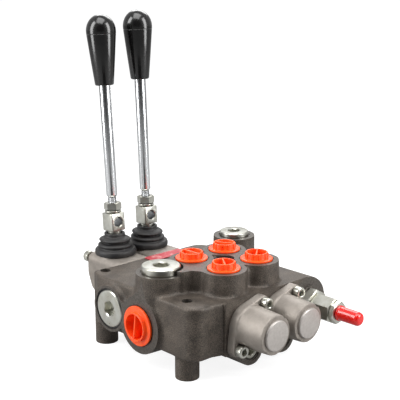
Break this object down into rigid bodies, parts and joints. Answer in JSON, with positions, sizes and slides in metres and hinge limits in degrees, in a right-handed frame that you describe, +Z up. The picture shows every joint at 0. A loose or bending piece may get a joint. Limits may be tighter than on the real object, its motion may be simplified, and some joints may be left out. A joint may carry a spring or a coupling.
{
  "type": "hydraulic monoblock valve",
  "caption": "Hand-operated two-spool hydraulic directional valve in one cast body, with levers, capped ports and a relief valve.",
  "frame": {"origin": "on the surface under the feet, below the middle of the whole object's box", "axes": "+X along the spools towards the spring caps, +Y across the sections towards the relief valve, +Z up along the levers"},
  "size_m": [0.2464, 0.1632, 0.2789],
  "materials": {
    "cast_iron_body": "phosphated dark grey, fine sand-cast grain, machined faces",
    "die_cast_metal": "as-cast light grey, matt",
    "zinc_plated_steel": "bright zinc plated",
    "plain_steel": "plain machined",
    "bright_rod": "polished",
    "black_knob": "glossy black",
    "black_rubber": "matt black",
    "orange_plastic": "satin moulded, bright orange",
    "red_plastic": "glossy dipped red",
    "red_plate": "printed red plate, worn, no text"
  },
  "bodies": {
    "valve": {"valve_body": "cast_iron_body", "name_plate": "red_plate", "tank_top_plug": "zinc_plated_steel", "pressure_top_plug": "zinc_plated_steel", "carry_over_plug": "zinc_plated_steel", "carry_over_plug_seal": "black_rubber", "check_valve_plug_1": "zinc_plated_steel", "check_valve_plug_2": "zinc_plated_steel", "spring_cap_1": "die_cast_metal", "spring_cap_screw_1": "zinc_plated_steel", "spring_cap_screw_2": "zinc_plated_steel", "spring_cap_2": "die_cast_metal", "spring_cap_screw_3": "zinc_plated_steel", "spring_cap_screw_4": "zinc_plated_steel", "spool_seal_1": "black_rubber", "spool_seal_2": "black_rubber", "lever_housing_1": "die_cast_metal", "lever_housing_screw_1": "zinc_plated_steel", "lever_housing_screw_2": "zinc_plated_steel", "pivot_seat_1": "plain_steel", "lever_housing_2": "die_cast_metal", "lever_housing_screw_3": "zinc_plated_steel", "lever_housing_screw_4": "zinc_plated_steel", "pivot_seat_2": "plain_steel", "boot_1": "black_rubber", "boot_2": "black_rubber", "relief_cartridge": "zinc_plated_steel", "relief_spring_housing": "zinc_plated_steel", "relief_lock_nut": "zinc_plated_steel", "relief_spring": "plain_steel"},
    "lever_1": {"lever_stem_1": "zinc_plated_steel", "lever_washer_1": "plain_steel", "lever_nut_1": "zinc_plated_steel", "lever_rod_1": "bright_rod", "lever_knob_1": "black_knob"},
    "spool_1": {"spool_1": "bright_rod", "spring_bolt_1": "plain_steel", "spring_cup_1": "plain_steel", "centering_spring_1": "plain_steel"},
    "check_poppet_1": {"check_valve_poppet_1": "plain_steel"},
    "lever_2": {"lever_stem_2": "zinc_plated_steel", "lever_washer_2": "plain_steel", "lever_nut_2": "zinc_plated_steel", "lever_rod_2": "bright_rod", "lever_knob_2": "black_knob"},
    "spool_2": {"spool_2": "bright_rod", "spring_bolt_2": "plain_steel", "spring_cup_2": "plain_steel", "centering_spring_2": "plain_steel"},
    "check_poppet_2": {"check_valve_poppet_2": "plain_steel"},
    "port_cap_a1": {"port_cap_a1": "orange_plastic"},
    "port_cap_b1": {"port_cap_b1": "orange_plastic"},
    "port_cap_a2": {"port_cap_a2": "orange_plastic"},
    "port_cap_b2": {"port_cap_b2": "orange_plastic"},
    "port_cap_tank": {"port_cap_tank": "orange_plastic"},
    "port_cap_pressure": {"port_cap_pressure": "orange_plastic"},
    "relief_cap": {"relief_cap": "red_plastic"},
    "relief_poppet": {"relief_poppet": "plain_steel"},
    "relief_adjusting_screw": {"relief_adjusting_screw": "plain_steel"}
  },
  "joints": [
    {"name": "lever_1_tilt", "type": "hinge", "parent": "valve", "child": "lever_1", "pos_m": [-0.09626, -0.0227, 0.0627], "axis": [0, 1, 0], "range_deg": [-18, 18], "stiffness_Nm_per_rad": 4, "deforming": ["boot_1"]},
    {"name": "spool_1_slide", "type": "slide", "parent": "valve", "child": "spool_1", "axis": [1, 0, 0], "range_m": [-0.007, 0.007]},
    {"name": "check_poppet_1_lift", "type": "slide", "parent": "valve", "child": "check_poppet_1", "axis": [1, 0, 0], "range_m": [0, 0.003], "stiffness_N_per_m": 500},
    {"name": "lever_2_tilt", "type": "hinge", "parent": "valve", "child": "lever_2", "pos_m": [-0.09626, 0.0153, 0.0627], "axis": [0, 1, 0], "range_deg": [-18, 18], "stiffness_Nm_per_rad": 4, "deforming": ["boot_2"]},
    {"name": "spool_2_slide", "type": "slide", "parent": "valve", "child": "spool_2", "axis": [1, 0, 0], "range_m": [-0.007, 0.007]},
    {"name": "check_poppet_2_lift", "type": "slide", "parent": "valve", "child": "check_poppet_2", "axis": [1, 0, 0], "range_m": [0, 0.003], "stiffness_N_per_m": 500},
    {"name": "port_cap_a1_pull", "type": "slide", "parent": "valve", "child": "port_cap_a1", "axis": [0, 0, 1], "range_m": [0, 0.03]},
    {"name": "port_cap_b1_pull", "type": "slide", "parent": "valve", "child": "port_cap_b1", "axis": [0, 0, 1], "range_m": [0, 0.03]},
    {"name": "port_cap_a2_pull", "type": "slide", "parent": "valve", "child": "port_cap_a2", "axis": [0, 0, 1], "range_m": [0, 0.03]},
    {"name": "port_cap_b2_pull", "type": "slide", "parent": "valve", "child": "port_cap_b2", "axis": [0, 0, 1], "range_m": [0, 0.03]},
    {"name": "port_cap_tank_pull", "type": "slide", "parent": "valve", "child": "port_cap_tank", "axis": [0, -1, 0], "range_m": [0, 0.03]},
    {"name": "port_cap_pressure_pull", "type": "slide", "parent": "valve", "child": "port_cap_pressure", "axis": [0, 1, 0], "range_m": [0, 0.03]},
    {"name": "relief_cap_pull", "type": "slide", "parent": "valve", "child": "relief_cap", "axis": [1, 0, 0], "range_m": [0, 0.03]},
    {"name": "relief_poppet_lift", "type": "slide", "parent": "valve", "child": "relief_poppet", "axis": [1, 0, 0], "range_m": [0, 0.002], "stiffness_N_per_m": 2000, "deforming": ["relief_spring"]},
    {"name": "relief_screw_turn", "type": "hinge", "parent": "valve", "child": "relief_adjusting_screw", "pos_m": [0.09924, 0.0533, 0.0405], "axis": [1, 0, 0], "range_deg": [-360, 360]}
  ],
  "couplings": [
    {"joint": "spool_1_slide", "follows": "lever_1_tilt", "m_per_rad": -0.021},
    {"joint": "spool_2_slide", "follows": "lever_2_tilt", "m_per_rad": -0.021}
  ]
}
